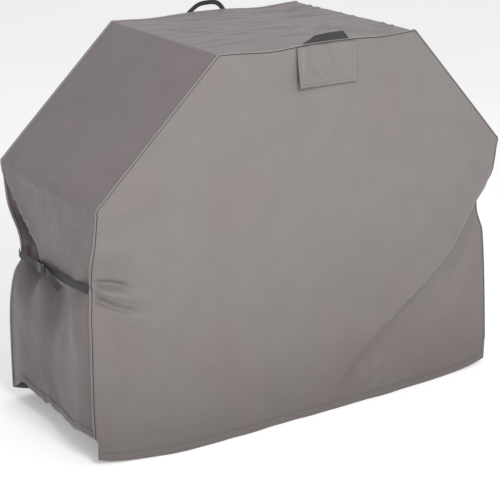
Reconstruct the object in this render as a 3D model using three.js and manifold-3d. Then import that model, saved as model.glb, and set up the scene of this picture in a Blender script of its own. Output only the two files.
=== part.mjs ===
// A flared fabric cover for a free-standing barbecue grill, with carrying handles,
// rain-flapped vents and a cinch strap with a side-release buckle on each side.
// Millimetres, +Z up. The origin is on the floor, under the middle of the cover.
// X runs along the grill, Y from its front to its back. Cloth is drawn as flat rigid panels.

import * as THREE from 'three';
import { mergeVertices } from 'three/addons/utils/BufferGeometryUtils.js';
import Module from 'manifold-3d';

const wasm = await Module();
wasm.setup();

// ---- driving dimensions ----

const WIDTH = 1600;             // along the grill, over its side shelves
const DEPTH = 700;              // front panel to back panel
const HEIGHT = 1300;            // floor to the top panel
const SHOULDER_HEIGHT = 875;    // where the slopes start
const TOP_WIDTH = 770;
const TOP_SHIFT = 20;           // the top sits this far to the right of the middle
const CLOTH = 2;                // thickness of a cloth panel
const GAP = 0.3;                // between pieces that touch

const HEM_HEIGHT = 25;
const HEM_THICKNESS = 4;        // the cloth is turned up and doubled
const SIDE_HEM_RISE = 75;       // the side panels are cut shorter at the front

const PIPING_WIDTH = 6;         // of the raised seam, across the side panels
const PIPING_HEIGHT = 4;

const WEBBING_WIDTH = 25;
const WEBBING_THICKNESS = 1.5;

const HANDLE = {
  baseHalf: 88,                 // half its width where it comes out of the seam
  topHalf: 52,
  height: 35,
  legWidth: 24,
  band: 18,                     // height of the grip
  thickness: 2,
  endLength: 28,                // webbing held inside the seam
};
const HANDLE_PIVOT_Z = HEIGHT + PIPING_HEIGHT + 2;
const HANDLE_Y = DEPTH / 2 - PIPING_WIDTH / 2;

const FLAP = { width: 235, height: 135, top: HEIGHT - 6, thickness: CLOTH };
const VENT = { width: 150, height: 50, bottom: HEIGHT - 100, binding: 12, net: 1 };
const VENT_CENTRES = { front: 40, back: 15 };

const STRAP = {
  frontY: -267,                 // where the strap leaves the front seam
  rearY: 257,
  frontZ: 595,
  rearZ: 570,
  buckleY: 40,                  // the socket's mouth
};
const SOCKET = {
  length: 36, width: 34, thickness: 11, cavityDepth: 26, wall: 3.5, bar: 4, slot: 4,
  windowNear: 10, windowFar: 22, // the prongs' windows, from the mouth
  play: 0.7,                     // round a prong, across its thickness
  barRecess: 2.1,                // of the strap's bar, below each face
};
const PLUG = {
  length: 22, width: 33, thickness: 9, tongueWidth: 6, tongueLength: 22, tongueRoot: 2,
  slots: [3, 11], slotLength: 4, slotPlay: 1,
};
const PRONG = {
  length: 20, arm: 3, inner: 7, head: 8, thickness: 5, tipRound: 3, tipLead: 2, shoulder: 1, root: 0.5,
};
const BUCKLE_CORNER = 3;         // radius of the socket's and the plug's corners
const BUCKLE_GAP = 1;            // between the socket's mouth and the plug
const PAST = 1;                  // how far a cut runs on past the face it opens
const BUCKLE_X = WIDTH / 2 + 8; // middle of the buckle's thickness, off the side panel
const STRAP_LIFT = 1;            // from the side panel to the straps
// The rear strap's loop round the socket's bar.
const LOOP = { recess: 0.9, turn: 3, join: 14, outerJoin: 16, layer: 2.5, reach: 40 };
const TAIL = { length: 125, drop: 34, bendAt: 30, bendDrop: 4 };

// ---- materials ----

const paint = (color, roughness) => new THREE.MeshStandardMaterial({ color, roughness, metalness: 0 });
const frontCloth = () => paint(0x9b9692, 0.75);
const sideCloth = () => paint(0x7e7476, 0.75);
const webbing = () => paint(0x26262a, 0.85);
const net = () => paint(0x1c1c1e, 0.9);
const plastic = () => paint(0x141416, 0.35);

// ---- shape helpers ----

// A closed outline with a thickness: each point of a path moved sideways, with mitred corners.
function offsetPath(points, distance) {
  const normals = points.slice(1).map((p, i) => {
    const along = p.clone().sub(points[i]).normalize();
    return new THREE.Vector2(-along.y, along.x);
  });
  return points.map((p, i) => {
    const before = normals[Math.max(i - 1, 0)];
    const after = normals[Math.min(i, normals.length - 1)];
    const mitre = before.clone().add(after).normalize();
    return p.clone().addScaledVector(mitre, distance / mitre.dot(before));
  });
}

function stripOutline(points, nearSide, farSide) {
  return [...offsetPath(points, nearSide), ...offsetPath(points, farSide).reverse()];
}

const vectors = (pairs) => pairs.map(([u, v]) => new THREE.Vector2(u, v));

function slab(outline, depth, holes = []) {
  const shape = new THREE.Shape(outline);
  shape.holes = holes.map((hole) => new THREE.Path(hole));
  return new THREE.ExtrudeGeometry(shape, { depth, bevelEnabled: false });
}

// An outline in X and Z, filled from y = near to y = far.
function alongY(outline, near, far, holes) {
  return slab(outline, far - near, holes).rotateX(Math.PI / 2).translate(0, far, 0);
}

// An outline in Y and Z, filled from x = near to x = far.
function alongX(outline, near, far) {
  const turn = new THREE.Matrix4().makeBasis(
    new THREE.Vector3(0, 1, 0), new THREE.Vector3(0, 0, 1), new THREE.Vector3(1, 0, 0));
  return slab(outline, far - near).applyMatrix4(turn).translate(near, 0, 0);
}

// An outline in X and Y, filled from z = -half to z = half.
function alongZ(outline, half) {
  return slab(outline, 2 * half).translate(0, 0, -half);
}

const rectangle = (u0, v0, u1, v1) => vectors([[u0, v0], [u1, v0], [u1, v1], [u0, v1]]);

function block(x0, x1, y0, y1, z0, z1) {
  return new THREE.BoxGeometry(x1 - x0, y1 - y0, z1 - z0)
    .translate((x0 + x1) / 2, (y0 + y1) / 2, (z0 + z1) / 2);
}

// The same block on either side of the cover: side is 1 on the right and -1 on the left.
function sideBlock(side, x0, x1, y0, y1, z0, z1) {
  const ends = [side * x0, side * x1].sort((a, b) => a - b);
  return block(ends[0], ends[1], y0, y1, z0, z1);
}

function roundedOutline(u0, v0, u1, v1, radius) {
  const shape = new THREE.Shape();
  shape.absarc(u1 - radius, v0 + radius, radius, -Math.PI / 2, 0);
  shape.absarc(u1 - radius, v1 - radius, radius, 0, Math.PI / 2);
  shape.absarc(u0 + radius, v1 - radius, radius, Math.PI / 2, Math.PI);
  shape.absarc(u0 + radius, v0 + radius, radius, Math.PI, 1.5 * Math.PI);
  return shape.getPoints(4);
}

function solid(geometry) {
  const bare = geometry.clone();
  bare.deleteAttribute('normal');
  bare.deleteAttribute('uv');
  const merged = mergeVertices(bare.index ? bare.toNonIndexed() : bare, 1e-4);
  return new wasm.Manifold(new wasm.Mesh({
    numProp: 3,
    vertProperties: new Float32Array(merged.attributes.position.array),
    triVerts: new Uint32Array(merged.index.array),
  }));
}

function geometryOf(manifold) {
  const mesh = manifold.getMesh();
  const geometry = new THREE.BufferGeometry();
  geometry.setAttribute('position', new THREE.BufferAttribute(mesh.vertProperties, 3));
  geometry.setIndex(new THREE.BufferAttribute(mesh.triVerts, 1));
  return geometry;
}

function piece(parent, name, geometry, material) {
  const mesh = new THREE.Mesh(geometry, material);
  mesh.name = name;
  parent.add(mesh);
  return mesh;
}

// ---- the cloth shell ----

const halfWidth = WIDTH / 2;
const halfDepth = DEPTH / 2;
const topLeft = TOP_SHIFT - TOP_WIDTH / 2;
const topRight = TOP_SHIFT + TOP_WIDTH / 2;
const panelBottom = HEM_HEIGHT + GAP;
const seamSpace = WEBBING_THICKNESS + 2 * GAP;  // room in the seam for the handles' ends
const insideY = halfDepth - CLOTH - seamSpace;

// The seam line over the cover, from the left hem over the top to the right hem.
const seamLine = vectors([
  [-halfWidth, panelBottom], [-halfWidth, SHOULDER_HEIGHT], [topLeft, HEIGHT],
  [topRight, HEIGHT], [halfWidth, SHOULDER_HEIGHT], [halfWidth, panelBottom],
]);

function ventHole(centre) {
  return rectangle(centre - VENT.width / 2, VENT.bottom, centre + VENT.width / 2, VENT.bottom + VENT.height);
}

function addFacePanel(parent, end, back) {
  const near = back ? halfDepth - CLOTH : -halfDepth;
  const holes = [ventHole(VENT_CENTRES[end])];
  piece(parent, `${end}_panel`, alongY(seamLine, near, near + CLOTH, holes), frontCloth());
}

// One stretch of the strip between the front and back panels.
function gussetStretch(index) {
  const inner = offsetPath(seamLine, -CLOTH);
  const along = seamLine[index + 1].clone().sub(seamLine[index]).normalize();
  const ends = [seamLine[index], seamLine[index + 1], inner[index + 1], inner[index]];
  const trims = [GAP, -GAP, -GAP, GAP];
  const outline = ends.map((p, i) => p.clone().addScaledVector(along, trims[i]));
  return alongY(outline, -insideY, insideY);
}

// The side panels' lower edge climbs towards the front.
const sideEdge = (y) => SIDE_HEM_RISE * (halfDepth - y) / DEPTH;

function addGusset(parent) {
  piece(parent, 'gusset_left_slope', gussetStretch(1), sideCloth());
  piece(parent, 'gusset_top', gussetStretch(2), sideCloth());
  piece(parent, 'gusset_right_slope', gussetStretch(3), sideCloth());
  const sideTop = SHOULDER_HEIGHT - CLOTH;
  const outline = vectors([
    [-insideY, sideEdge(-insideY) + panelBottom], [insideY, sideEdge(insideY) + panelBottom],
    [insideY, sideTop], [-insideY, sideTop],
  ]);
  piece(parent, 'gusset_left_side', alongX(outline, -halfWidth, CLOTH - halfWidth), sideCloth());
  piece(parent, 'gusset_right_side', alongX(outline, halfWidth - CLOTH, halfWidth), sideCloth());
}

function addHems(parent) {
  const outside = (HEM_THICKNESS - CLOTH) / 2;
  const inside = HEM_THICKNESS - outside;
  const hemY = halfDepth - inside;
  const faceHem = (near) => block(-halfWidth, halfWidth, near, near + HEM_THICKNESS, 0, HEM_HEIGHT);
  piece(parent, 'front_hem', faceHem(-halfDepth - outside), frontCloth());
  piece(parent, 'back_hem', faceHem(hemY), frontCloth());
  const reach = halfDepth - PIPING_WIDTH - GAP;
  const edges = [-reach, reach].map((y) => [y, sideEdge(y)]);
  const outline = vectors([...edges, ...edges.map(([y, z]) => [y, z + HEM_HEIGHT]).reverse()]);
  piece(parent, 'left_hem', alongX(outline, -halfWidth - outside, inside - halfWidth), sideCloth());
  piece(parent, 'right_hem', alongX(outline, halfWidth - inside, halfWidth + outside), sideCloth());
}

function addSeamPiping(parent) {
  const outline = stripOutline(seamLine, GAP, GAP + PIPING_HEIGHT);
  const reach = halfDepth - PIPING_WIDTH;
  piece(parent, 'front_seam_piping', alongY(outline, -halfDepth, -reach), sideCloth());
  piece(parent, 'back_seam_piping', alongY(outline, reach, halfDepth), sideCloth());
}

// ---- vents: a netted hole, bound round its edge, under a flap that hangs from the top ----

function addVent(parent, end, back) {
  const centre = VENT_CENTRES[end];
  const outward = back ? 1 : -1;
  const layer = (from, to) => [outward * from, outward * to].sort((a, b) => a - b);
  const margin = VENT.binding;
  const around = rectangle(centre - VENT.width / 2 - margin, VENT.bottom - margin,
    centre + VENT.width / 2 + margin, VENT.bottom + VENT.height + margin);

  const netFace = halfDepth - CLOTH - GAP;
  piece(parent, `${end}_vent_net`, alongY(around, ...layer(netFace - VENT.net, netFace)), net());

  const bindingFace = halfDepth + GAP;
  const bindingOuter = bindingFace + VENT.net;
  const binding = alongY(around, ...layer(bindingFace, bindingOuter), [ventHole(centre)]);
  piece(parent, `${end}_vent_binding`, binding, frontCloth());

  const flapFace = bindingOuter + 1;
  const flap = rectangle(centre - FLAP.width / 2, FLAP.top - FLAP.height, centre + FLAP.width / 2, FLAP.top);
  const flapLayer = layer(flapFace, flapFace + FLAP.thickness);
  piece(parent, `${end}_vent_flap`, alongY(flap, ...flapLayer), frontCloth());
}

// ---- handles: a loop of webbing folded at its corners, with its two ends held in the seam ----

function addHandle(parent, end, back) {
  const centre = VENT_CENTRES[end];
  const outward = back ? 1 : -1;
  const { baseHalf, topHalf, height, legWidth, band, thickness, endLength } = HANDLE;
  const innerBase = baseHalf - legWidth;
  const innerTop = innerBase - (baseHalf - topHalf) * (height - band) / height;
  const outline = vectors([
    [-baseHalf, 0], [-innerBase, 0], [-innerTop, height - band], [innerTop, height - band],
    [innerBase, 0], [baseHalf, 0], [topHalf, height], [-topHalf, height],
  ]);
  const loop = new THREE.Group();
  loop.position.set(centre, outward * HANDLE_Y, HANDLE_PIVOT_Z);
  parent.add(loop);
  piece(loop, `${end}_handle`, alongY(outline, -thickness / 2, thickness / 2), webbing());

  const endFace = halfDepth - CLOTH - GAP;
  const layer = [outward * endFace, outward * (endFace - WEBBING_THICKNESS)].sort((a, b) => a - b);
  const endTop = HEIGHT - CLOTH - GAP;
  for (const [name, from] of [['left', centre - baseHalf], ['right', centre + innerBase]]) {
    const tucked = block(from, from + legWidth, ...layer, endTop - endLength, endTop);
    piece(parent, `${end}_handle_${name}_end`, tucked, webbing());
  }
}

// ---- a cinch strap: a rear strap with the buckle's socket, a front strap with its plug ----

function socketGeometry(side) {
  const { length, width, thickness, cavityDepth, wall, bar, slot } = SOCKET;
  const half = thickness / 2;
  const inner = width / 2 - wall;
  const hollow = PRONG.thickness / 2 + SOCKET.play;
  const barHalf = half - SOCKET.barRecess;
  const mouth = STRAP.buckleY;
  const rear = mouth + length;
  const slotFrom = rear - bar - slot;
  const x = BUCKLE_X;
  const outline = roundedOutline(mouth, -width / 2, rear, width / 2, BUCKLE_CORNER);
  const near = Math.min(side * (x - half), side * (x + half));
  const cuts = [
    sideBlock(side, x - hollow, x + hollow, mouth - PAST, mouth + cavityDepth, -inner, inner),
    sideBlock(side, x - hollow, x + hollow,
      mouth + SOCKET.windowNear, mouth + SOCKET.windowFar, -width, width),
    sideBlock(side, x - half - PAST, x + half + PAST, slotFrom, slotFrom + slot, -inner, inner),
    sideBlock(side, x - half - PAST, x - barHalf, slotFrom, rear + PAST, -inner, inner),
    sideBlock(side, x + barHalf, x + half + PAST, slotFrom, rear + PAST, -inner, inner),
  ];
  return geometryOf(cuts.reduce((body, cut) => body.subtract(solid(cut)),
    solid(alongX(outline, near, near + thickness))));
}

function plugGeometry(side) {
  const { length, width, thickness, tongueWidth, tongueLength } = PLUG;
  const half = thickness / 2;
  const rear = STRAP.buckleY - BUCKLE_GAP;
  const front = rear - length;
  const slotHalf = WEBBING_WIDTH / 2 + PLUG.slotPlay;
  const x = BUCKLE_X;
  const near = Math.min(side * (x - half), side * (x + half));
  const outline = roundedOutline(front, -width / 2, rear, width / 2, BUCKLE_CORNER);
  const base = solid(alongX(outline, near, near + thickness));
  const tongueHalf = PRONG.thickness / 2;
  const tongue = sideBlock(side, x - tongueHalf, x + tongueHalf,
    rear - PLUG.tongueRoot, rear + tongueLength, -tongueWidth / 2, tongueWidth / 2);
  const slots = PLUG.slots.map((at) => sideBlock(side, x - half - PAST, x + half + PAST,
    front + at, front + at + PLUG.slotLength, -slotHalf, slotHalf));
  return geometryOf(slots.reduce((body, slot) => body.subtract(solid(slot)), base.add(solid(tongue))));
}

// An arm with a thicker head that fills the socket's window. end is 1 above and -1 below.
function prongGeometry(side, end) {
  const { length, arm, inner, head, thickness } = PRONG;
  const root = STRAP.buckleY - BUCKLE_GAP + PRONG.root;
  const tip = root + length;
  const outer = SOCKET.width / 2 - SOCKET.wall - GAP;
  const outline = vectors([
    [root, end * inner], [tip, end * inner], [tip, end * (outer - PRONG.tipRound)],
    [tip - PRONG.tipLead, end * outer], [tip - head, end * outer],
    [tip - head - PRONG.shoulder, end * (inner + arm)], [root, end * (inner + arm)],
  ]);
  const near = side * BUCKLE_X - thickness / 2;
  return alongX(outline, near, near + thickness);
}

function rearStrapGeometry(side) {
  const layerX = halfWidth + STRAP_LIFT + WEBBING_THICKNESS / 2;
  const outerX = layerX + LOOP.layer;
  const rear = STRAP.buckleY + SOCKET.length;
  const slotMiddle = rear - SOCKET.bar - SOCKET.slot / 2;
  const under = BUCKLE_X - SOCKET.thickness / 2 + LOOP.recess;
  const over = BUCKLE_X + SOCKET.thickness / 2 - LOOP.recess;
  const path = vectors([
    [layerX, STRAP.rearY], [layerX, rear + LOOP.join], [under, rear + LOOP.turn], [under, slotMiddle],
    [over, slotMiddle], [over, rear + LOOP.turn],
    [outerX, rear + LOOP.outerJoin], [outerX, rear + LOOP.reach],
  ].map(([across, along]) => [side * across, along]));
  const half = WEBBING_THICKNESS / 2;
  return alongZ(stripOutline(path, -half, half), WEBBING_WIDTH / 2);
}

function frontStrapGeometry(side) {
  const nearX = halfWidth + STRAP_LIFT;
  const end = STRAP.buckleY - PLUG.length + PLUG.slotLength;
  const half = WEBBING_WIDTH / 2;
  return sideBlock(side, nearX, nearX + WEBBING_THICKNESS, STRAP.frontY, end, -half, half);
}

function tailGeometry(side) {
  const start = STRAP.buckleY - BUCKLE_GAP - PLUG.length - GAP;
  const end = start - TAIL.length;
  const half = WEBBING_WIDTH / 2;
  const outline = vectors([
    [start, -half], [start, half], [start - TAIL.bendAt, half - TAIL.bendDrop], [end, half - TAIL.drop],
    [end, -half - TAIL.drop], [start - TAIL.bendAt, -half - TAIL.bendDrop],
  ]);
  const near = side * BUCKLE_X - WEBBING_THICKNESS / 2;
  return alongX(outline, near, near + WEBBING_THICKNESS);
}

function addStrap(parent, name, side) {
  const line = new THREE.Group();
  const middleY = (STRAP.frontY + STRAP.rearY) / 2;
  const slope = Math.atan2(STRAP.rearZ - STRAP.frontZ, STRAP.rearY - STRAP.frontY);
  const pivot = new THREE.Vector3(0, middleY, 0).applyAxisAngle(new THREE.Vector3(1, 0, 0), slope);
  line.rotation.x = slope;
  line.position.set(0, middleY - pivot.y, (STRAP.frontZ + STRAP.rearZ) / 2 - pivot.z);
  parent.add(line);
  piece(line, `${name}_rear_strap`, rearStrapGeometry(side), webbing());
  piece(line, `${name}_front_strap`, frontStrapGeometry(side), webbing());
  piece(line, `${name}_strap_tail`, tailGeometry(side), webbing());
  piece(line, `${name}_buckle_socket`, socketGeometry(side), plastic());
  piece(line, `${name}_buckle_plug`, plugGeometry(side), plastic());
  piece(line, `${name}_buckle_upper_prong`, prongGeometry(side, 1), plastic());
  piece(line, `${name}_buckle_lower_prong`, prongGeometry(side, -1), plastic());
}

// ---- assembly ----

const cover = new THREE.Group();
addGusset(cover);
addHems(cover);
addSeamPiping(cover);
for (const [end, back] of [['front', false], ['back', true]]) {
  addFacePanel(cover, end, back);
  addVent(cover, end, back);
  addHandle(cover, end, back);
}
addStrap(cover, 'left', -1);
addStrap(cover, 'right', 1);

export default cover;
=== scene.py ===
"""The looks of a flared grill cover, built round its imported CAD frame. Metres, +Z up, row frame.

The cover is one sewn mesh: a front and a back face and the gusset strip between them. Its flat pattern is
that of the CAD panels. It starts in a shape drawn by formula, with its seams pulled together by the side
straps, and a cloth simulation then settles it over a form like a grill's lid. The settled grid is cut into
its panels, refined, creased, and given seams, hems, stitches, vents and webbing. The buckles are the CAD's.
"""

import math

import bmesh
import bpy
import numpy as np
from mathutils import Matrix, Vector, noise


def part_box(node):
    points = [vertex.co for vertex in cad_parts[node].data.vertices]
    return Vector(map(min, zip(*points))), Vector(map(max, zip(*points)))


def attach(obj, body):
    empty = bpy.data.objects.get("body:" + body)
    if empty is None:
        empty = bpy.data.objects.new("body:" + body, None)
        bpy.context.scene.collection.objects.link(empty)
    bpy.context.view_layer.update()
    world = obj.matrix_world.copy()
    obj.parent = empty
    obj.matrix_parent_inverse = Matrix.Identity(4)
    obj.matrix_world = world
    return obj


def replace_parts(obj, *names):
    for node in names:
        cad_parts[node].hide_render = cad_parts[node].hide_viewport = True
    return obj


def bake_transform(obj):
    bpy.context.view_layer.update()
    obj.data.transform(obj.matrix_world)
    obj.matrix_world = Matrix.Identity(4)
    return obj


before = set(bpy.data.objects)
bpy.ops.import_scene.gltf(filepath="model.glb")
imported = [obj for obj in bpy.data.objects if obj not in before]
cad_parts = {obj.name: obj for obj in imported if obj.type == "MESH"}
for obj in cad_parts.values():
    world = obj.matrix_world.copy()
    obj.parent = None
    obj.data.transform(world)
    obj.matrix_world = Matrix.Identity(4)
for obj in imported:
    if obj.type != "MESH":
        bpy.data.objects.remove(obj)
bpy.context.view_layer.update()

# ---- places and sizes, from the CAD frame ----

FACE_LO, FACE_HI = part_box("front_panel")
TOP_LO, TOP_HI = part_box("gusset_top")
SIDE_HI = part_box("gusset_left_side")[1]
HALF_WIDTH = FACE_HI.x
HALF_DEPTH = -FACE_LO.y
HEIGHT = FACE_HI.z
TOP_LEFT = TOP_LO.x
TOP_RIGHT = TOP_HI.x
CLOTH = FACE_HI.y - FACE_LO.y
SHOULDER = SIDE_HI.z + CLOTH

# ---- the sewn grid ----

SIDE_ROWS = 44            # hem to shoulder
SLOPE_ROWS = 30           # shoulder to top
TOP_COLUMNS = 80          # along the top
DEPTH_COLUMNS = 36        # front seam to back seam
FREE_ROWS = 4             # of the front face, below the side panels' raised edge
FACE_ROWS = SIDE_ROWS + SLOPE_ROWS
SEAM_STEPS = 2 * FACE_ROWS + TOP_COLUMNS
SIDE_EDGE_FRONT = 0.075   # the side panels' lower edge is this much higher at its front end
LEVEL_ROWS = 14           # the side panels' slanting rows are level again after these


def smooth_step(t):
    t = np.clip(t, 0, 1)
    return t * t * (3 - 2 * t)


def seam_profile():
    """X and Z along the seam line, from the left hem over the top to the right hem."""
    corners = [
        (-HALF_WIDTH, 0), (-HALF_WIDTH, SHOULDER), (TOP_LEFT, HEIGHT),
        (TOP_RIGHT, HEIGHT), (HALF_WIDTH, SHOULDER), (HALF_WIDTH, 0),
    ]
    steps = [SIDE_ROWS, SLOPE_ROWS, TOP_COLUMNS, SLOPE_ROWS, SIDE_ROWS]
    line = [np.array(corners[0])]
    for start, end, count in zip(corners, corners[1:], steps):
        for i in range(1, count + 1):
            line.append(np.array(start) + (np.array(end) - start) * i / count)
    return np.array(line)


class Sewn:
    """The vertices and quads of the cover, with the vertex numbers of each panel's own grid."""

    def __init__(self):
        self.points = []
        self.faces = []
        seam = seam_profile()
        depth = np.linspace(-HALF_DEPTH, HALF_DEPTH, DEPTH_COLUMNS + 1)
        edge = SIDE_EDGE_FRONT * (HALF_DEPTH - depth) / (2 * HALF_DEPTH)
        self.gusset = np.full((SEAM_STEPS + 1, DEPTH_COLUMNS + 1), -1)
        for k in range(FREE_ROWS, SEAM_STEPS + 1 - FREE_ROWS):
            row = min(k, SEAM_STEPS - k)
            bend = 1 - smooth_step((row - FREE_ROWS) / LEVEL_ROWS)
            for t, y in enumerate(depth):
                shift = (edge[t] - edge[0]) * bend
                self.gusset[k, t] = self.add(seam[k][0], y, seam[k][1] + shift)
        self.front = self.face_grid(seam, 0, -HALF_DEPTH, 0)
        self.back = self.face_grid(seam, DEPTH_COLUMNS, HALF_DEPTH, FREE_ROWS)
        for grid, flip in ((self.front, False), (self.back, True), (self.gusset, True)):
            self.weave(grid, flip)

    def add(self, x, y, z):
        self.points.append((x, y, z))
        return len(self.points) - 1

    def face_grid(self, seam, t, y, first_row):
        """Rows from the hem up, columns from left to right. Its edges are the gusset's own vertices."""
        grid = np.full((FACE_ROWS + 1, TOP_COLUMNS + 1), -1)
        for i in range(first_row, FACE_ROWS + 1):
            left, right = self.gusset[i, t], self.gusset[SEAM_STEPS - i, t]
            sewn = left >= 0
            z = self.points[left][2] if sewn else seam[i][1]
            ends = seam[i][0], seam[SEAM_STEPS - i][0]
            for j in range(TOP_COLUMNS + 1):
                if i == FACE_ROWS:
                    grid[i, j] = self.gusset[FACE_ROWS + j, t]
                elif sewn and j == 0:
                    grid[i, j] = left
                elif sewn and j == TOP_COLUMNS:
                    grid[i, j] = right
                else:
                    grid[i, j] = self.add(ends[0] + (ends[1] - ends[0]) * j / TOP_COLUMNS, y, z)
        return grid

    def weave(self, grid, flip):
        for i in range(grid.shape[0] - 1):
            for j in range(grid.shape[1] - 1):
                quad = [grid[i, j], grid[i, j + 1], grid[i + 1, j + 1], grid[i + 1, j]]
                if min(quad) >= 0:
                    self.faces.append([int(v) for v in (quad[::-1] if flip else quad)])


def new_mesh(name, points, faces):
    mesh = bpy.data.meshes.new(name)
    mesh.from_pydata([tuple(map(float, p)) for p in points], [], [tuple(map(int, f)) for f in faces])
    mesh.validate()
    obj = bpy.data.objects.new(name, mesh)
    bpy.context.scene.collection.objects.link(obj)
    return obj


def face_outwards(obj):
    """Turns all faces of a closed body outwards, and cuts them into triangles."""
    work = bmesh.new()
    work.from_mesh(obj.data)
    bmesh.ops.recalc_face_normals(work, faces=work.faces)
    bmesh.ops.triangulate(work, faces=work.faces)
    work.to_mesh(obj.data)
    work.free()
    return obj


# ---- the shape that the straps draw the cover into ----

STRAP_LO, STRAP_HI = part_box("left_front_strap")
STRAP_WIDTH = 0.025
STRAP_FRONT = (STRAP_LO.y, STRAP_HI.z - STRAP_WIDTH / 2)
STRAP_REAR = (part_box("left_rear_strap")[1].y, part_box("left_rear_strap")[0].z + STRAP_WIDTH / 2)

# Depth of each seam below the shoulder, as (height, distance from the middle plane).
SEAM_PULL = {
    ("left", "front"): [
        (SHOULDER, HALF_DEPTH), (0.76, 0.325), (STRAP_FRONT[1], -STRAP_FRONT[0]), (0.5, 0.288),
        (0.4, 0.293), (0.2, 0.289), (0.0, 0.296),
    ],
    ("right", "front"): [
        (SHOULDER, HALF_DEPTH), (0.76, 0.334), (STRAP_FRONT[1], -STRAP_FRONT[0]), (0.48, 0.29),
        (0.25, 0.322), (0.0, 0.343),
    ],
    ("left", "rear"): [
        (SHOULDER, HALF_DEPTH), (0.75, 0.325), (STRAP_REAR[1], STRAP_REAR[0]), (0.46, 0.298),
        (0.25, 0.344), (0.0, 0.349),
    ],
}
SEAM_PULL["right", "rear"] = SEAM_PULL["left", "rear"]
BEND_START = 0.42         # a face is flat inside this distance from the middle
BEND_REACH = HALF_WIDTH - BEND_START

# The sharp fold that runs from the shoulder's rear corner down to the buckle, as (height, y).
FOLD_LINE = [
    (0.4, 0.11), (0.52, 0.075), (0.585, 0.09), (0.72, 0.215), (0.83, 0.335), (SHOULDER, HALF_DEPTH),
]
VALLEY_LINE = [(0.0, -0.03), (0.08, -0.02), (0.17, 0.045), (0.36, 0.041), (0.52, 0.065)]
REAR_POCKET = 0.215       # y of the pleat's deepest line below the strap
SIDE_BULGE = 0.012
PLEAT_ABOVE = 0.42        # the sharp pleat turns into softer valleys over PLEAT_TURN, down to this height
PLEAT_TURN = 0.15
LEAST_FALL = 0.75         # of a thread's length that stays vertical, however far it is drawn aside
ROW_SAMPLES = 400
DEEPEST = 0.5             # of all folds tried
HALVINGS = 22             # in the search for the depth that uses a row's cloth up


def through(points, at):
    """A smooth curve through (position, value) points, read at the given positions."""
    x, y = np.array(sorted(points)).T
    step = np.diff(x)
    rise = np.diff(y) / step
    slope = np.concatenate([rise[:1], np.zeros(len(rise) - 1), rise[-1:]])
    for i in range(1, len(rise)):
        if rise[i - 1] * rise[i] > 0:
            slope[i] = 2 * rise[i - 1] * rise[i] / (rise[i - 1] + rise[i])
    k = np.clip(np.searchsorted(x, at) - 1, 0, len(step) - 1)
    t = np.clip((at - x[k]) / step[k], 0, 1)
    ends = (2 * t**3 - 3 * t**2 + 1) * y[k] + (3 * t**2 - 2 * t**3) * y[k + 1]
    return ends + step[k] * ((t**3 - 2 * t**2 + t) * slope[k] + (t**3 - t**2) * slope[k + 1])


def drawn_face(x, z, sign):
    """A face's points curve back towards the seams that the straps draw in."""
    end = "front" if sign < 0 else "rear"
    left = through(SEAM_PULL["left", end], z)
    right = through(SEAM_PULL["right", end], z)
    pull = HALF_DEPTH - np.where(x < 0, left, right)
    pull = np.where(z < SHOULDER, pull, 0)
    u = np.clip((np.abs(x) - BEND_START) / BEND_REACH, 0, 1)
    shorter = 2 / 3 * pull**2 * u**3 / BEND_REACH
    return x - np.sign(x) * shorter, sign * (HALF_DEPTH - pull * u**2)


def bump(y, middle, width):
    """1 at the middle, fading to nothing about two widths away."""
    return np.exp(-(((y - middle) / width) ** 2))


def side_depth(y, z, y_rear):
    """How the surplus cloth of a side folds inwards, as a shape that is scaled to use it all up."""
    fold = through(FOLD_LINE, z)
    bottom = fold + 0.45 * (y_rear - fold)
    pleat = np.interp(y, [fold, bottom, y_rear - 0.004], [0, 1, 0])
    low = 1 - smooth_step((z - PLEAT_ABOVE) / PLEAT_TURN)
    pocket = bump(y, REAR_POCKET, 0.05) * smooth_step((z - 0.25) / 0.25)
    valley = 0.35 * bump(y, through(VALLEY_LINE, z), 0.05) + 0.65 * bump(y, 0.02, 0.15)
    valley = valley - 0.15 * bump(y, 0.24, 0.07) - 0.45 * bump(y, -0.2, 0.08)
    return (1 - low) * pleat + low * (pocket + valley)


def drawn_side(front, rear, z, inwards):
    """One row of a side panel, from the front seam's point to the rear one's, at its full width."""
    y = np.linspace(front[1], rear[1], ROW_SAMPLES)
    level = np.interp(y, [front[1], rear[1]], [front[0], rear[0]])
    across = (y - front[1]) / (rear[1] - front[1])
    level = level - inwards * SIDE_BULGE * np.sin(np.pi * across)
    shape = side_depth(y, z, rear[1])
    low, high = 0.0, DEEPEST
    for _ in range(HALVINGS):
        depth = (low + high) / 2
        x = level + inwards * depth * shape
        run = np.concatenate([[0], np.cumsum(np.hypot(np.diff(x), np.diff(y)))])
        low, high = (depth, high) if run[-1] < 2 * HALF_DEPTH else (low, depth)
    at = np.linspace(0, run[-1], DEPTH_COLUMNS + 1)
    return np.interp(at, run, x), np.interp(at, run, y)


# Where the top's long edges sag beside the handles: middle, half width and depth.
EDGE_SAGS = {-1: [(-0.17, 0.11, 0.01), (0.27, 0.09, 0.006)], 1: [(-0.21, 0.1, 0.006), (0.24, 0.11, 0.009)]}
SAG_DROP, SAG_REACH = 0.3, 0.2          # it fades out over this height and this depth


def edge_sag(rest):
    """How far each point sinks where the top's long edges sag."""
    x, y, z = rest.T
    near = smooth_step(1 - (HEIGHT - z) / SAG_DROP) * smooth_step(1 - (HALF_DEPTH - np.abs(y)) / SAG_REACH)
    sink = np.zeros(len(rest))
    for sign, sags in EDGE_SAGS.items():
        for middle, width, depth in sags:
            sink = sink + np.where(y * sign > 0, depth * bump(x, middle, width), 0)
    return sink * near


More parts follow.
